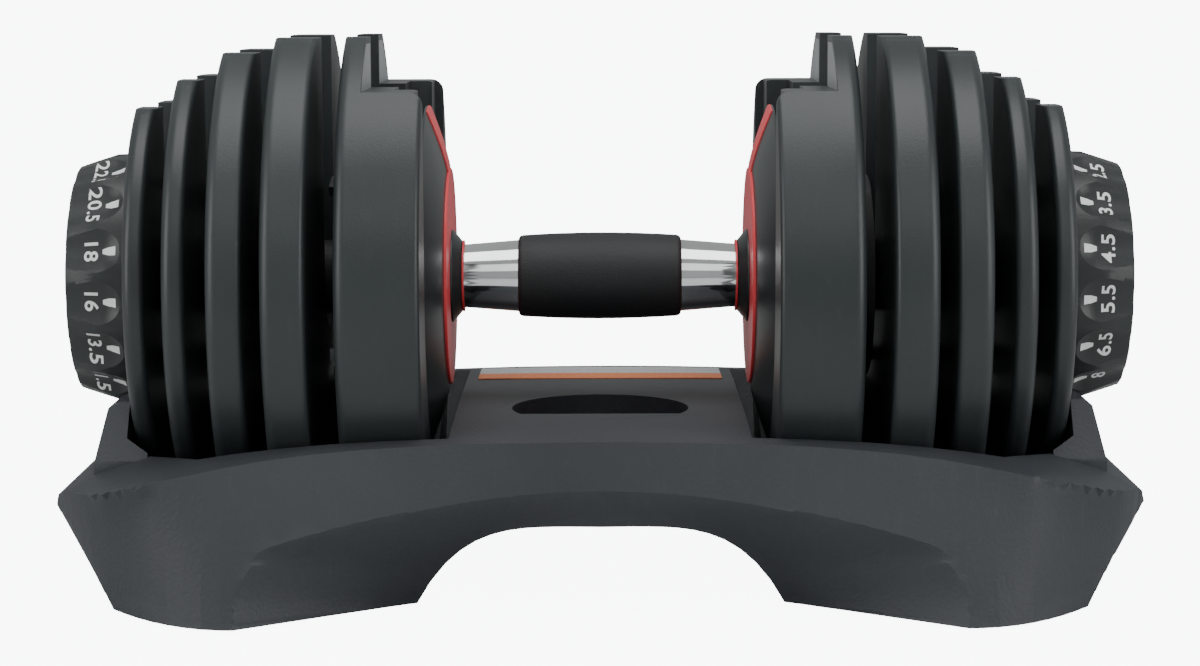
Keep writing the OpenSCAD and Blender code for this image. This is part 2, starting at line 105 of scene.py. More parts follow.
def new_group(name: str, inputs: dict[str, float], outputs: dict[str, str]) -> bpy.types.NodeTree:
    """Starts a shader node group.

    Args:
        name: the group's name.
        inputs: each float input's name and default value.
        outputs: each output's name and socket type.

    Returns:
        The node tree, with its input and output nodes in place.
    """
    tree = bpy.data.node_groups.new(name, "ShaderNodeTree")
    for key, value in inputs.items():
        socket = tree.interface.new_socket(key, in_out="INPUT", socket_type="NodeSocketFloat")
        socket.default_value = value
    for key, kind in outputs.items():
        tree.interface.new_socket(key, in_out="OUTPUT", socket_type=kind)
    tree.nodes.new("NodeGroupInput")
    tree.nodes.new("NodeGroupOutput")
    return tree


def end_nodes(tree: bpy.types.NodeTree) -> tuple[bpy.types.Node, bpy.types.Node]:
    """The group's input node and output node."""
    pick = {n.bl_idname: n for n in tree.nodes}
    return pick["NodeGroupInput"], pick["NodeGroupOutput"]


def math_node(tree: bpy.types.NodeTree, kind: str, a: object, b: object) -> bpy.types.NodeSocket:
    """Adds a Math node.

    Args:
        tree: where the node goes.
        kind: the operation, such as MULTIPLY.
        a: the first value or the socket it comes from.
        b: the second value or the socket it comes from.

    Returns:
        The node's output socket.
    """
    node = tree.nodes.new("ShaderNodeMath")
    node.operation = kind
    for index, value in enumerate((a, b)):
        if isinstance(value, bpy.types.NodeSocket):
            tree.links.new(value, node.inputs[index])
        else:
            node.inputs[index].default_value = value
    return node.outputs[0]


def noise_node(tree: bpy.types.NodeTree, scale: object, detail: float = 2.0) -> bpy.types.NodeSocket:
    """Adds a Noise Texture on Object coordinates and gives back its factor socket."""
    place = tree.nodes.new("ShaderNodeTexCoord")
    noise = tree.nodes.new("ShaderNodeTexNoise")
    noise.inputs["Detail"].default_value = detail
    tree.links.new(place.outputs["Object"], noise.inputs["Vector"])
    if isinstance(scale, bpy.types.NodeSocket):
        tree.links.new(scale, noise.inputs["Scale"])
    else:
        noise.inputs["Scale"].default_value = scale
    return noise.outputs["Fac"]


def mould_grain_group() -> bpy.types.NodeTree:
    """Fine pebbled grain of moulded plastic or rubber: a height and a broad mottle."""
    tree = new_group(
        "MouldGrain",
        {"Scale": GRAIN_SCALE, "Mottle Scale": MOTTLE_SCALE},
        {"Height": "NodeSocketFloat", "Mottle": "NodeSocketFloat"},
    )
    source, sink = end_nodes(tree)
    place = tree.nodes.new("ShaderNodeTexCoord")
    cells = tree.nodes.new("ShaderNodeTexVoronoi")
    cells.feature = "SMOOTH_F1"
    tree.links.new(place.outputs["Object"], cells.inputs["Vector"])
    tree.links.new(source.outputs["Scale"], cells.inputs["Scale"])
    fine = noise_node(tree, source.outputs["Scale"], 3.0)
    pebble = math_node(tree, "MULTIPLY", cells.outputs["Distance"], 0.6)
    tree.links.new(math_node(tree, "ADD", pebble, fine), sink.inputs["Height"])
    mottle = noise_node(tree, source.outputs["Mottle Scale"], 4.0)
    tree.links.new(mottle, sink.inputs["Mottle"])
    return tree


def scuff_group() -> bpy.types.NodeTree:
    """Faint rubbed marks: a mask of long thin streaks that fades in patches."""
    tree = new_group("Scuff", {"Scale": SCUFF_SCALE, "Amount": 0.5}, {"Mask": "NodeSocketFloat"})
    source, sink = end_nodes(tree)
    place = tree.nodes.new("ShaderNodeTexCoord")
    stretch = tree.nodes.new("ShaderNodeMapping")
    stretch.inputs["Scale"].default_value = (6.0, 1.0, 1.6)
    stretch.inputs["Rotation"].default_value = (0.4, 0.3, 0.7)
    noise = tree.nodes.new("ShaderNodeTexNoise")
    noise.inputs["Detail"].default_value = 6.0
    noise.inputs["Roughness"].default_value = 0.7
    tree.links.new(place.outputs["Object"], stretch.inputs["Vector"])
    tree.links.new(stretch.outputs["Vector"], noise.inputs["Vector"])
    tree.links.new(source.outputs["Scale"], noise.inputs["Scale"])
    above = math_node(tree, "SUBTRACT", noise.outputs["Fac"], SCUFF_ABOVE)
    sharp = math_node(tree, "MULTIPLY", above, SCUFF_STEEP)
    patches = noise_node(tree, 9.0, 2.0)
    level = math_node(tree, "MULTIPLY", sharp, patches)
    held = math_node(tree, "MINIMUM", math_node(tree, "MAXIMUM", level, 0.0), 1.0)
    tree.links.new(math_node(tree, "MULTIPLY", held, source.outputs["Amount"]), sink.inputs["Mask"])
    return tree


def edge_wear_group() -> bpy.types.NodeTree:
    """A mask that is strong on convex edges, broken up by noise: rubbed wear, and partly a painted
    highlight along the edges.
    """
    tree = new_group("EdgeWear", {"Amount": 0.5, "Break Up": WEAR_AND_HIGHLIGHT_SCALE}, {"Mask": "NodeSocketFloat"})
    source, sink = end_nodes(tree)
    shape = tree.nodes.new("ShaderNodeNewGeometry")
    convex = math_node(tree, "SUBTRACT", shape.outputs["Pointiness"], WEAR_AND_HIGHLIGHT_ABOVE)
    steep = math_node(tree, "MULTIPLY", convex, WEAR_AND_HIGHLIGHT_STEEP)
    grain = noise_node(tree, source.outputs["Break Up"], 3.0)
    level = math_node(tree, "MULTIPLY", steep, grain)
    held = math_node(tree, "MINIMUM", math_node(tree, "MAXIMUM", level, 0.0), 1.0)
    tree.links.new(math_node(tree, "MULTIPLY", held, source.outputs["Amount"]), sink.inputs["Mask"])
    return tree


GROUPS: dict[str, bpy.types.NodeTree] = {
    "grain": mould_grain_group(),
    "scuff": scuff_group(),
    # Mask of paler convex edges: wear, and partly a painted highlight.
    "wear": edge_wear_group(),
}


def group_node(tree: bpy.types.NodeTree, key: str, **values: float) -> bpy.types.Node:
    """Places one of the shared groups in a material, with its own values.

    Args:
        tree: the material's node tree.
        key: the group's key in GROUPS.
        **values: input values, with underscores for spaces.

    Returns:
        The group node.
    """
    node = tree.nodes.new("ShaderNodeGroup")
    node.node_tree = GROUPS[key]
    for name, value in values.items():
        node.inputs[name.replace("_", " ")].default_value = value
    return node


def mixed_colour(
    tree: bpy.types.NodeTree, mask: bpy.types.NodeSocket, a: object, b: Colour,
) -> bpy.types.NodeSocket:
    """Mixes two colours by a mask.

    Args:
        tree: the material's node tree.
        mask: 0 gives a, 1 gives b.
        a: a colour, or the socket it comes from.
        b: the second colour.

    Returns:
        The mixed colour's socket.
    """
    node = tree.nodes.new("ShaderNodeMix")
    node.data_type = "RGBA"
    tree.links.new(mask, node.inputs["Factor"])
    if isinstance(a, bpy.types.NodeSocket):
        tree.links.new(a, node.inputs[6])
    else:
        node.inputs[6].default_value = (*a, 1.0)
    node.inputs[7].default_value = (*b, 1.0)
    return node.outputs[2]


def spread(
    tree: bpy.types.NodeTree, value: bpy.types.NodeSocket, low: float, high: float,
) -> bpy.types.NodeSocket:
    """Maps the middle of a noise value's range on to low to high, held at both ends."""
    node = tree.nodes.new("ShaderNodeMapRange")
    node.inputs["From Min"].default_value = NOISE_MIDDLE[0]
    node.inputs["From Max"].default_value = NOISE_MIDDLE[1]
    node.inputs["To Min"].default_value = low
    node.inputs["To Max"].default_value = high
    tree.links.new(value, node.inputs["Value"])
    return node.outputs["Result"]


def lifted(colour: Colour, gain: float, add: float) -> Colour:
    """A paler tone of a colour: each channel times a gain plus an offset, held at 1."""
    return tuple(min(1.0, c * gain + add) for c in colour)


# ------------------------------------------------------------------ finishes


@dataclass(frozen=True)
class Moulded:
    """Moulded plastic or rubber with a fine grain, scuffs, and convex edges made paler for rubbed
    wear and partly as a painted highlight.
    """

    name: str
    colour: Colour
    roughness: tuple[float, float]
    grain_scale: float = GRAIN_SCALE
    grain_depth: float = 0.15
    scuffs: float = 0.25
    # How far convex edges are made paler: rubbed wear, and partly a painted highlight.
    wear: float = 0.35
    specular: float = 0.5
    sheen: float = 0.0
    coat: float = 0.0

    def build(self) -> bpy.types.Material:
        """Makes the material.

        Returns:
            A procedural material on Object coordinates.
        """
        material = bpy.data.materials.new(self.name)
        material.use_nodes = True
        tree = material.node_tree
        shader = tree.nodes["Principled BSDF"]
        grain = group_node(tree, "grain", Scale=self.grain_scale, Mottle_Scale=MOTTLE_SCALE)
        scuff = group_node(tree, "scuff", Scale=SCUFF_SCALE, Amount=self.scuffs)
        wear = group_node(tree, "wear", Amount=self.wear, Break_Up=WEAR_AND_HIGHLIGHT_SCALE)
        lighter = lifted(self.colour, *LIGHTER)
        rubbed_and_highlight = lifted(self.colour, *RUBBED_AND_HIGHLIGHT)
        mottle = spread(tree, grain.outputs["Mottle"], 0.0, 1.0)
        base = mixed_colour(tree, mottle, self.colour, lighter)
        base = mixed_colour(tree, scuff.outputs["Mask"], base, rubbed_and_highlight)
        # Convex edges turn paler: rubbed wear, and partly a painted highlight along them.
        base = mixed_colour(tree, wear.outputs["Mask"], base, rubbed_and_highlight)
        tree.links.new(base, shader.inputs["Base Color"])
        rough = spread(tree, grain.outputs["Mottle"], *self.roughness)
        duller = math_node(tree, "MULTIPLY", scuff.outputs["Mask"], SCUFF_DULLS)
        tree.links.new(math_node(tree, "ADD", rough, duller), shader.inputs["Roughness"])
        bump = tree.nodes.new("ShaderNodeBump")
        bump.inputs["Strength"].default_value = self.grain_depth
        bump.inputs["Distance"].default_value = GRAIN_HEIGHT
        tree.links.new(grain.outputs["Height"], bump.inputs["Height"])
        tree.links.new(bump.outputs["Normal"], shader.inputs["Normal"])
        shader.inputs["Specular IOR Level"].default_value = self.specular
        shader.inputs["Sheen Weight"].default_value = self.sheen
        shader.inputs["Coat Weight"].default_value = self.coat
        return material


@dataclass(frozen=True)
class Metal:
    """Plated or bare metal with fine drawn lines and smudges."""

    name: str
    colour: Colour
    roughness: tuple[float, float]
    line_scale: tuple[float, float, float] = (1.0, 60.0, 60.0)
    line_depth: float = 0.02

    def build(self) -> bpy.types.Material:
        """Makes the material.

        Returns:
            A procedural metal on Object coordinates.
        """
        material = bpy.data.materials.new(self.name)
        material.use_nodes = True
        tree = material.node_tree
        shader = tree.nodes["Principled BSDF"]
        shader.inputs["Metallic"].default_value = 1.0
        place = tree.nodes.new("ShaderNodeTexCoord")
        lines = tree.nodes.new("ShaderNodeMapping")
        lines.inputs["Scale"].default_value = self.line_scale
        brush = tree.nodes.new("ShaderNodeTexNoise")
        brush.inputs["Scale"].default_value = 30.0
        brush.inputs["Detail"].default_value = 4.0
        tree.links.new(place.outputs["Object"], lines.inputs["Vector"])
        tree.links.new(lines.outputs["Vector"], brush.inputs["Vector"])
        smudge = noise_node(tree, 45.0, 4.0)
        tree.links.new(spread(tree, smudge, *self.roughness), shader.inputs["Roughness"])
        darker = tuple(c * 0.82 for c in self.colour)
        tint = mixed_colour(tree, spread(tree, smudge, 0.0, 1.0), self.colour, darker)
        tree.links.new(tint, shader.inputs["Base Color"])
        bump = tree.nodes.new("ShaderNodeBump")
        bump.inputs["Strength"].default_value = self.line_depth
        bump.inputs["Distance"].default_value = LINE_HEIGHT
        tree.links.new(brush.outputs["Fac"], bump.inputs["Height"])
        tree.links.new(bump.outputs["Normal"], shader.inputs["Normal"])
        return material


@dataclass(frozen=True)
class Print:
    """Ink or foil: a plain colour with slight unevenness."""

    name: str
    colour: Colour
    roughness: tuple[float, float] = (0.4, 0.55)

    def build(self) -> bpy.types.Material:
        """Makes the material.

        Returns:
            A procedural material on Object coordinates.
        """
        material = bpy.data.materials.new(self.name)
        material.use_nodes = True
        tree = material.node_tree
        shader = tree.nodes["Principled BSDF"]
        patch = noise_node(tree, 500.0, 3.0)
        darker = tuple(c * 0.86 for c in self.colour)
        tint = mixed_colour(tree, spread(tree, patch, 0.0, 1.0), self.colour, darker)
        tree.links.new(tint, shader.inputs["Base Color"])
        tree.links.new(spread(tree, patch, *self.roughness), shader.inputs["Roughness"])
        return material


FINISHES: dict[str, bpy.types.Material] = {
    "plate_plastic": Moulded(
        "PlatePlastic", (0.020, 0.025, 0.0265), (0.34, 0.44), 1100.0, 0.12, 0.25, 0.4).build(),
    "guard_plastic": Moulded(
        "GuardPlastic", (0.018, 0.023, 0.0245), (0.28, 0.38), 1300.0, 0.06).build(),
    "dial_plastic": Moulded(
        "DialPlastic", (0.020, 0.0235, 0.0235), (0.32, 0.42), 1100.0, 0.10).build(),
    "selector_plastic": Moulded(
        "SelectorPlastic", (0.02, 0.02, 0.022), (0.5, 0.6), 800.0, 0.2).build(),
    "tray_plastic": Moulded(
        "TrayPlastic", (0.027, 0.0305, 0.036), (0.5, 0.62), 700.0, 0.35, 0.3, 0.12).build(),
    "red_plastic": Moulded(
        "RedPlastic", (0.70, 0.050, 0.060), (0.38, 0.5), 1200.0, 0.06, 0.1, 0.1).build(),
    "grip_rubber": Moulded(
        "GripRubber", (0.016, 0.018, 0.020), (0.55, 0.68), 1400.0, 0.3, 0.1, 0.15).build(),
    "foot_rubber": Moulded(
        "FootRubber", (0.015, 0.015, 0.016), (0.7, 0.8), 900.0, 0.3, 0.1, 0.1).build(),
    "handle_chrome": Metal(
        "HandleChrome", (0.86, 0.87, 0.88), (0.05, 0.09), (1.0, 3.0, 3.0), 0.01).build(),
    "plain_steel": Metal("PlainSteel", (0.52, 0.54, 0.55), (0.32, 0.45)).build(),
    "label_foil": Print("LabelFoil", (0.50, 0.51, 0.52)).build(),
    "label_stripe": Print("LabelStripe", (0.75, 0.20, 0.05)).build(),
    "dial_ink": Print("DialInk", (0.93, 0.95, 0.94)).build(),
}


# ------------------------------------------------------------------ mesh helpers


def merged(node: str) -> bmesh.types.BMesh:
    """A copy of a CAD node's mesh with its loose triangles merged and its flats joined."""
    bm = bmesh.new()
    bm.from_mesh(frame["nodes"][node].data)
    bmesh.ops.remove_doubles(bm, verts=bm.verts, dist=MERGE_WITHIN)
    bmesh.ops.dissolve_limit(bm, angle_limit=FLAT_WITHIN, verts=bm.verts, edges=bm.edges)
    return bm


def soften(
    bm: bmesh.types.BMesh, width: float, segments: int = 2, from_angle: float = ROUND_FROM,
) -> None:
    """Rounds every edge that turns by more than an angle.

    Args:
        bm: the mesh to change.
        width: the rounding's width in metres.
        segments: faces across the rounding.
        from_angle: the least turn, in degrees, of an edge that is rounded.
    """
    least = math.radians(from_angle)
    edges = [e for e in bm.edges if len(e.link_faces) == 2 and e.calc_face_angle(0.0) > least]
    bmesh.ops.bevel(
        bm, geom=edges, offset=width, offset_type="OFFSET", segments=segments, profile=0.5,
        affect="EDGES", clamp_overlap=True, material=-1,
    )


def placed(
    bm: bmesh.types.BMesh, name: str, body: str, slot: str,
    finish: Optional[str] = None, crisp_from: float = CRISP_FROM,
) -> bpy.types.Object:
    """Turns a bmesh into a finished piece.

    Args:
        bm: the mesh, which is freed.
        name: the piece's name.
        body: the CAD body that it rides on.
        slot: the record's material slot.
        finish: the key in FINISHES, or the slot's own if left out.
        crisp_from: the least turn, in degrees, of an edge that stays crisp.

    Returns:
        The new object.
    """
    mesh = bpy.data.meshes.new(name)
    bm.to_mesh(mesh)
    bm.free()
    mesh.shade_smooth()
    mesh.set_sharp_from_angle(angle=math.radians(crisp_from))
    mesh.materials.append(FINISHES[finish or slot])
    piece = bpy.data.objects.new(name, mesh)
    evened = piece.modifiers.new("evened", "WEIGHTED_NORMAL")
    evened.keep_sharp = True
    bpy.context.scene.collection.objects.link(piece)
    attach(piece, body)
    LOG.info("%s: %d faces on %s", name, len(mesh.polygons), body)
    return piece


def adopt(
    node: str, width: float = 0.0, segments: int = 2,
    shape: Optional[Callable] = None, crisp_from: float = CRISP_FROM,
) -> bpy.types.Object:
    """Makes the shown piece for a CAD node: the same shape with its edges rounded.

    Args:
        node: the CAD node.
        width: how far the edges are rounded, in metres; 0 leaves them.
        segments: faces across the rounding.
        shape: an optional function that changes the bmesh first.
        crisp_from: the least turn, in degrees, of an edge that stays crisp.

    Returns:
        The piece, which replaces the node.
    """
    bm = merged(node)
    if shape:
        shape(bm)
    if width:
        soften(bm, width, segments)
    piece = placed(bm, f"{node}_piece", BODY_OF[node], SLOT_OF[node], crisp_from=crisp_from)
    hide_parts(node)
    return piece


def dress(node: str) -> None:
    """Gives a CAD node that stays as it is its slot's finish."""
    mesh = frame["nodes"][node].data
    material = FINISHES[SLOT_OF[node]]
    if not mesh.materials:
        mesh.materials.append(material)
    for place in frame["nodes"][node].material_slots:
        place.material = material
    LOG.info("%s: dressed", node)


# ------------------------------------------------------------------ tray


@dataclass(frozen=True)
class Flare:
    """The tray's front and back skin: straight from a curve at the floor to a curve at the rim."""

    rim_half: float = 100.24 * MM
    rim_bend_from: float = 178.0 * MM
    rim_bend: float = 0.03 / MM
    foot_peak: float = 130.0 * MM
    foot_front: float = 119.24 * MM
    foot_middle: float = 107.74 * MM
    foot_bend: float = 0.0156 / MM
    top: float = 66.0 * MM

    def half_depth(self, x: float, z: float) -> float:
        """Distance of the skin from the middle plane.

        Args:
            x: the station along the handle.
            z: the height over the floor.

        Returns:
            The distance along Y.
        """
        rim = self.rim_half - self.rim_bend * max(abs(x) - self.rim_bend_from, 0.0) ** 2
        if abs(x) < self.foot_peak:
            rise = math.sin(math.radians(90.0 * x / self.foot_peak)) ** 2
            foot = self.foot_middle + (self.foot_front - self.foot_middle) * rise
        else:
            foot = self.foot_front - self.foot_bend * (abs(x) - self.foot_peak) ** 2
        return foot + (rim - foot) * z / self.top


@dataclass
class Tray:
    """The moulded tray, its feet and its blank warning plate."""

    flare: Flare = Flare()
    edge: float = 1.1 * MM
    feet_edge: float = 0.8 * MM
    stripe_share: float = 0.42
    stripe_margin: float = 3.0 * MM
    near_skin: float = 1.6 * MM
    scoop_inside: float = 72.0 * MM
    outward: float = 0.25
    pad_top: float = 3.2 * MM
    row: float = 4.0 * MM
    relaxings: int = 40

    def build(self) -> None:
        """Builds and dresses every piece of the tray."""
        adopt("tray_shell", self.edge, 3, shape=self.smooth_skin)
        adopt("tray_feet", self.feet_edge)
        self.label()

    def faces_out(self, face: bmesh.types.BMFace) -> bool:
        """Whether a face belongs to the outer front or back."""
        middle = face.calc_center_median()
        turned_out = face.normal.y * middle.y > self.outward * abs(middle.y)
        return abs(middle.y) > self.scoop_inside and turned_out

    def off_skin(self, vert: bmesh.types.BMVert) -> float:
        """How far a vertex is inside the flared skin."""
        return self.flare.half_depth(vert.co.x, vert.co.z) - abs(vert.co.y)

    def cut_rows(
        self, bm: bmesh.types.BMesh, faces: list, normal: Vector, low: float, high: float,
    ) -> list:
        """Cuts faces by evenly spaced planes.

        Args:
            bm: the mesh.
            faces: the faces to cut.
            normal: the planes' direction.
            low: the first plane's place along it.
            high: where the planes end.

        Returns:
            The faces that the cuts leave.
        """
        for number in range(int((high - low) / self.row) + 1):
            around = {e for f in faces for e in f.edges} | {v for f in faces for v in f.verts}
            done = bmesh.ops.bisect_plane(
                bm, geom=list(faces) + list(around), dist=CUT_WITHIN,
                plane_co=normal * (low + number * self.row), plane_no=normal)
            faces = [g for g in done["geom"] if isinstance(g, bmesh.types.BMFace)]
        return faces

    def smooth_skin(self, bm: bmesh.types.BMesh) -> None:
        """Takes the facets out of the flared skin and of the two scoops in it."""
        bm.normal_update()
        outer = [f for f in bm.faces if self.faces_out(f)]
        skin = [f for f in outer if all(abs(self.off_skin(v)) < self.near_skin for v in f.verts)]
        taken = set(skin)
        scoops = [f for f in outer if f not in taken and max(v.co.z for v in f.verts) > self.pad_top]
        LOG.info("tray: %d skin faces, %d scoop faces", len(skin), len(scoops))
        skin = self.cut_rows(bm, skin, Vector((0, 0, 1)), self.row, self.flare.top)
        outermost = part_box("tray_shell")[1].y
        for vert in {v for f in skin for v in f.verts}:
            depth = min(self.flare.half_depth(vert.co.x, vert.co.z), outermost)
            vert.co.y = math.copysign(depth, vert.co.y)
        reach = self.flare.foot_peak
        scoops = self.cut_rows(bm, scoops, Vector((1, 0, 0)), -reach, reach)
        scoops = self.cut_rows(bm, scoops, Vector((0, 0, 1)), self.row, self.flare.top)
        parts = bmesh.ops.triangulate(bm, faces=scoops)["faces"]
        inside = set(parts)
        corners = {v for f in parts for v in f.verts}
        loose = [v for v in corners if all(f in inside for f in v.link_faces)]
        for _ in range(self.relaxings):
            bmesh.ops.smooth_vert(
                bm, verts=loose, factor=0.5, use_axis_x=True, use_axis_y=True, use_axis_z=True)
        bm.normal_update()

    def label(self) -> None:
        """The foil plate, with a coloured stripe along its front."""
        low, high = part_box("tray_label")
        cut_y = low.y + (high.y - low.y) * self.stripe_share

        def divide(bm: bmesh.types.BMesh) -> None:
            """Cuts the plate along the stripe's back edge."""
            bmesh.ops.bisect_plane(
                bm, geom=bm.verts[:] + bm.edges[:] + bm.faces[:], dist=CUT_WITHIN,
                plane_co=(0, cut_y, 0), plane_no=(0, 1, 0),
            )

        plate = adopt("tray_label", shape=divide)
        plate.data.materials.append(FINISHES["label_stripe"])
        for face in plate.data.polygons:
            inside = abs(face.center.x) < high.x - self.stripe_margin
            if face.center.y < cut_y and inside:
                face.material_index = 1


# ------------------------------------------------------------------ handle


@dataclass
class Handle:
    """Chrome tube, grip, hubs, guards, discs and the fixings at the shaft's ends."""

    edge: float = 0.3 * MM
    washer_edge: float = 0.2 * MM
    screw_edge: float = 0.4 * MM

    def build(self) -> None:
        """Builds and dresses every piece that lifts with the handle."""
        adopt("handle_tube", self.edge)
        adopt("grip_sleeve", self.edge)
        dress("centre_shaft")
        for side in Side:
            adopt(f"{side.word}_hub_ring")
            adopt(f"{side.word}_hub_cone", self.edge)
            adopt(f"{side.word}_guard", self.edge)
            adopt(f"{side.word}_red_disc")
            adopt(f"{side.word}_end_washer", self.washer_edge)
            adopt(f"{side.word}_end_screw", self.screw_edge)


# ------------------------------------------------------------------ plates


@dataclass
class PlateStack:
    """The five plates of one side."""

    side: Side
    count: int = 5
    cover_edge: float = 0.8 * MM
    core_edge: float = 0.15 * MM

    def build(self) -> None:
        """Builds and dresses each plate's cover and core."""
        for number in range(1, self.count + 1):
            plate = f"{self.side.word}_plate_{number}"
            adopt(f"{plate}_cover", self.cover_edge, 3)
            adopt(f"{plate}_core", self.core_edge)


# ------------------------------------------------------------------ dials


@dataclass
class Dial:
    """One dial with its printed figures, and the drive that it turns."""

    side: Side
    figures: tuple[str, ...] = (
        "2.5", "3.5", "4.5", "5.5", "6.5", "8", "9", "10",
        "11.5", "13.5", "16", "18", "20.5", "22.5", "24",
    )
    top_figure: int = 14
    figure_height: float = 5.1 * MM
    figure_stretch: float = 1.2
    figure_station: float = 15.0 * MM
    marker_station: float = 5.6 * MM
    marker_length: float = 5.0 * MM
    marker_width: float = 3.4 * MM
    marker_tip: float = 0.5
    marker_shoulder: float = 0.55
    shoulder_width: float = 0.9
    cap_share: float = 0.7
    letter_spacing: float = 1.08
    stroke_gain: float = 0.14 * MM
    merge_figure: float = 0.005 * MM
    print_inset: float = 2.0 * MM
    cast_from: float = 1.3
    ink_gap: float = 0.06 * MM
    edge: float = 0.35 * MM
    cap_edge: float = 0.3 * MM
    selector_edge: float = 0.2 * MM
    crisp_from: float = 14.0
    selectors: int = 5

    def build(self) -> None:
        """Builds and dresses the dial, its print and its drive."""
        word = self.side.word
        body = adopt(f"{word}_dial", self.edge, crisp_from=self.crisp_from)
        adopt(f"{word}_dial_cap", self.cap_edge)
        dress(f"{word}_drive_tube")
        for number in range(1, self.selectors + 1):
            adopt(f"{word}_selector_{number}", self.selector_edge)
        surface = BVHTree.FromPolygons(
            [v.co for v in body.data.vertices], [p.vertices for p in body.data.polygons])
        ink = bmesh.new()
        for index, figure in enumerate(self.figures):
            turn = self.turn_of(index)
            for part in (self.figure_mesh(figure), self.marker_mesh()):
                self.wrap(part, turn, surface)
                part.to_mesh(scratch := bpy.data.meshes.new("scratch"))
                part.free()
                ink.from_mesh(scratch)
                bpy.data.meshes.remove(scratch)
        placed(ink, f"{word}_dial_print", f"{word}_dial", "dial_plastic", "dial_ink")

    def turn_of(self, index: int) -> float:
        """Angle of a figure from the top towards the tray's front, in radians."""
        steps = self.side.value * (index - self.top_figure)
        return math.radians(360.0 / len(self.figures)) * steps

    def figure_mesh(self, figure: str) -> bmesh.types.BMesh:
        """Flat figure, as a mesh with X across the dial's turn and Y along the handle.

        Args:
            figure: the number to print.

        Returns:
            The mesh, centred on the figure.
        """
        curve = bpy.data.curves.new("figure", "FONT")
        curve.body = figure
        curve.size = self.figure_height / self.cap_share
        curve.space_character = self.letter_spacing
        curve.offset = self.stroke_gain
        text = bpy.data.objects.new("figure", curve)
        bpy.context.scene.collection.objects.link(text)
        bpy.context.view_layer.update()
        mesh = bpy.data.meshes.new_from_object(text)
        bpy.data.objects.remove(text)
        bpy.data.curves.remove(curve)
        bm = bmesh.new()
        bm.from_mesh(mesh)
        bpy.data.meshes.remove(mesh)
        bmesh.ops.remove_doubles(bm, verts=bm.verts, dist=self.merge_figure)
        bmesh.ops.triangulate(bm, faces=bm.faces)
        bmesh.ops.subdivide_edges(bm, edges=bm.edges, cuts=1, use_grid_fill=True)
        middle_x = (min(v.co.x for v in bm.verts) + max(v.co.x for v in bm.verts)) / 2
        middle_y = (min(v.co.y for v in bm.verts) + max(v.co.y for v in bm.verts)) / 2
        bmesh.ops.translate(bm, verts=bm.verts, vec=(-middle_x, -middle_y, 0))
        for vert in bm.verts:
            vert.co.x = vert.co.x * self.figure_stretch
            vert.co.y = vert.co.y - self.figure_station
        return bm

    def marker_mesh(self) -> bmesh.types.BMesh:
        """The wedge that points at a figure, wide towards the plates."""
        bm = bmesh.new()
        half = self.marker_width / 2
        tip = half * self.marker_tip
        near = -self.marker_station
        shoulder = near - self.marker_length * self.marker_shoulder
        far = near - self.marker_length
        rows = [[bm.verts.new((x, y, 0)) for x in (-wide, wide)]
                for wide, y in ((half, near), (half * self.shoulder_width, shoulder), (tip, far))]
        for (a, b), (c, d) in zip(rows, rows[1:]):
            bm.faces.new((a, c, d, b))
        bmesh.ops.subdivide_edges(bm, edges=bm.edges, cuts=3, use_grid_fill=True)
        return bm

    def wrap(self, bm: bmesh.types.BMesh, turn: float, surface: BVHTree) -> None:
        """Lays a flat mesh on the dial's skin.

        Args:
            bm: flat mesh, X along the reading direction and Y towards the plates.
            turn: the figure's angle from the top.
            surface: the dial's skin.
        """
        low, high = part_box(f"{self.side.word}_dial")
        inner = low.x if self.side is Side.RIGHT else -high.x
        radius = (high.z - low.z) / 2
        for vert in bm.verts:
            station = self.side.value * (inner - vert.co.y)
            angle = turn - self.side.value * vert.co.x / (radius - self.print_inset)
            out = Vector((0.0, -math.sin(angle), math.cos(angle)))
            start = Vector((station, 0.0, AXIS_Z)) + out * radius * self.cast_from
            hit, _, _, _ = surface.ray_cast(start, -out)
            vert.co = hit + out * self.ink_gap
        bmesh.ops.recalc_face_normals(bm, faces=bm.faces)
        centre = Vector((0.0, 0.0, AXIS_Z))
        across = Vector((0, 1, 1))
        inward = [f for f in bm.faces
                  if f.normal.dot((f.calc_center_median() - centre) * across) < 0]
        bmesh.ops.reverse_faces(bm, faces=inward)


# ------------------------------------------------------------------ studio


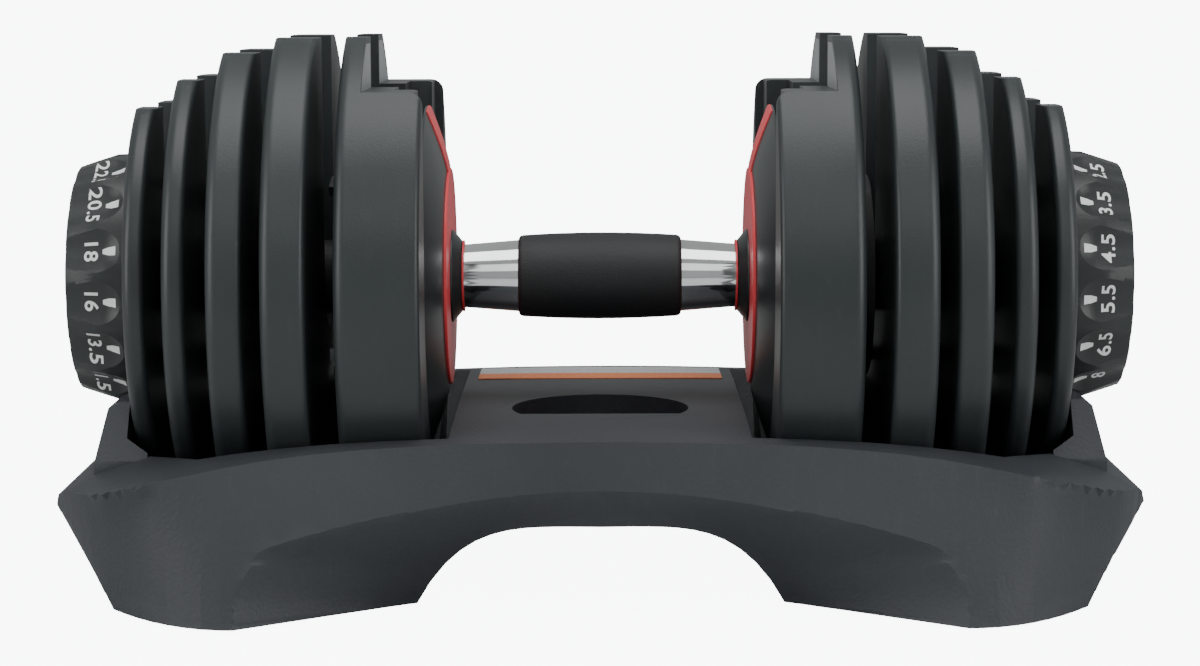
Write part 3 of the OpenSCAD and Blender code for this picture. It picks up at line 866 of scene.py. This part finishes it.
@dataclass
class Studio:
    """Pale floor, soft lights and the camera."""

    distance: float = 1.095
    elevation: float = math.radians(6.0)
    roll: float = math.radians(-0.18)
    aim_drop: float = 0.0226
    lens: float = 84.4
    sensor: float = 36.0
    lights: tuple[tuple[str, tuple[float, float, float], float, float, float], ...] = field(
        default_factory=lambda: (
            ("top_softbox", (0.0, -0.25, 1.5), 1.5, 1.0, 15.0),
            ("left_softbox", (-1.5, -0.75, 0.55), 0.8, 1.2, 10.0),
            ("right_softbox", (1.5, -0.75, 0.55), 0.8, 1.2, 10.0),
            ("front_fill", (0.0, -1.8, 1.3), 1.6, 0.9, 4.5),
        ))
    surround: float = 0.42
    backdrop: float = 9.0
    floor_half: float = 6.0
    floor_drop: float = 0.05 * MM
    floor_colour: tuple[float, float, float, float] = (0.62, 0.63, 0.63, 1.0)
    floor_roughness: float = 0.75

    def build(self) -> None:
        """Sets up the floor, the world, the lights and the camera."""
        self.floor()
        self.world()
        for light in self.lights:
            self.softbox(*light)
        self.camera()

    def floor(self) -> None:
        """A plain pale floor."""
        bm = bmesh.new()
        bmesh.ops.create_grid(bm, x_segments=1, y_segments=1, size=self.floor_half)
        bmesh.ops.translate(bm, verts=bm.verts, vec=(0, 0, -self.floor_drop))
        mesh = bpy.data.meshes.new("floor")
        bm.to_mesh(mesh)
        bm.free()
        mesh.materials.append(self.floor_material())
        floor = bpy.data.objects.new("floor", mesh)
        bpy.context.scene.collection.objects.link(floor)

    def camera_glow(self, tree: bpy.types.NodeTree) -> bpy.types.NodeSocket:
        """Brightness that only the camera's own rays see; it lights nothing in the scene."""
        path = tree.nodes.new("ShaderNodeLightPath")
        seen = path.outputs["Is Camera Ray"]
        return math_node(tree, "MULTIPLY", seen, self.backdrop - self.surround)

    def floor_material(self) -> bpy.types.Material:
        """A pale matt floor with a camera-only glow that hides nearly all of its shadows.

        Returns:
            The floor's material.
        """
        material = bpy.data.materials.new("PaleFloor")
        material.use_nodes = True
        tree = material.node_tree
        shader = tree.nodes["Principled BSDF"]
        shader.inputs["Base Color"].default_value = self.floor_colour
        shader.inputs["Roughness"].default_value = self.floor_roughness
        shader.inputs["Specular IOR Level"].default_value = 0.0
        shader.inputs["Emission Color"].default_value = PALE
        tree.links.new(self.camera_glow(tree), shader.inputs["Emission Strength"])
        return material

    def world(self) -> None:
        """Dim, even surroundings that the camera alone sees as nearly white."""
        world = bpy.data.worlds.new("Studio")
        world.use_nodes = True
        tree = world.node_tree
        back = tree.nodes["Background"]
        back.inputs["Color"].default_value = PALE
        strength = math_node(tree, "ADD", self.camera_glow(tree), self.surround)
        tree.links.new(strength, back.inputs["Strength"])
        bpy.context.scene.world = world

    def softbox(
        self, name: str, place: tuple[float, float, float], width: float, height: float, power: float,
    ) -> None:
        """Adds one area light that faces the dumbbell.

        Args:
            name: the light's name.
            place: where it stands.
            width: its width.
            height: its height.
            power: its power in watts.
        """
        data = bpy.data.lights.new(name, "AREA")
        data.shape = "RECTANGLE"
        data.size = width
        data.size_y = height
        data.energy = power
        light = bpy.data.objects.new(name, data)
        light.location = place
        aim = Vector((0, 0, AXIS_Z)) - Vector(place)
        light.rotation_euler = aim.to_track_quat("-Z", "Y").to_euler()
        bpy.context.scene.collection.objects.link(light)

    def camera(self) -> None:
        """The camera at the front, slightly above the handle."""
        data = bpy.data.cameras.new("camera")
        data.lens = self.lens
        data.sensor_width = self.sensor
        camera = bpy.data.objects.new("camera", data)
        centre = Vector((0.0, 0.0, AXIS_Z))
        back = Vector((0.0, -math.cos(self.elevation), math.sin(self.elevation)))
        camera.location = centre + back * self.distance
        aim = centre - Vector((0, 0, self.aim_drop)) - camera.location
        turned = aim.to_track_quat("-Z", "Y").to_matrix() @ Matrix.Rotation(self.roll, 3, "Z")
        camera.rotation_euler = turned.to_euler()
        bpy.context.scene.collection.objects.link(camera)
        bpy.context.scene.camera = camera


def main() -> None:
    """Builds the whole scene in order."""
    logging.basicConfig(level=logging.INFO, format="%(name)s %(message)s")
    Studio().build()
    Tray().build()
    Handle().build()
    for side in Side:
        PlateStack(side).build()
        Dial(side).build()


if __name__ == "__main__":
    main()
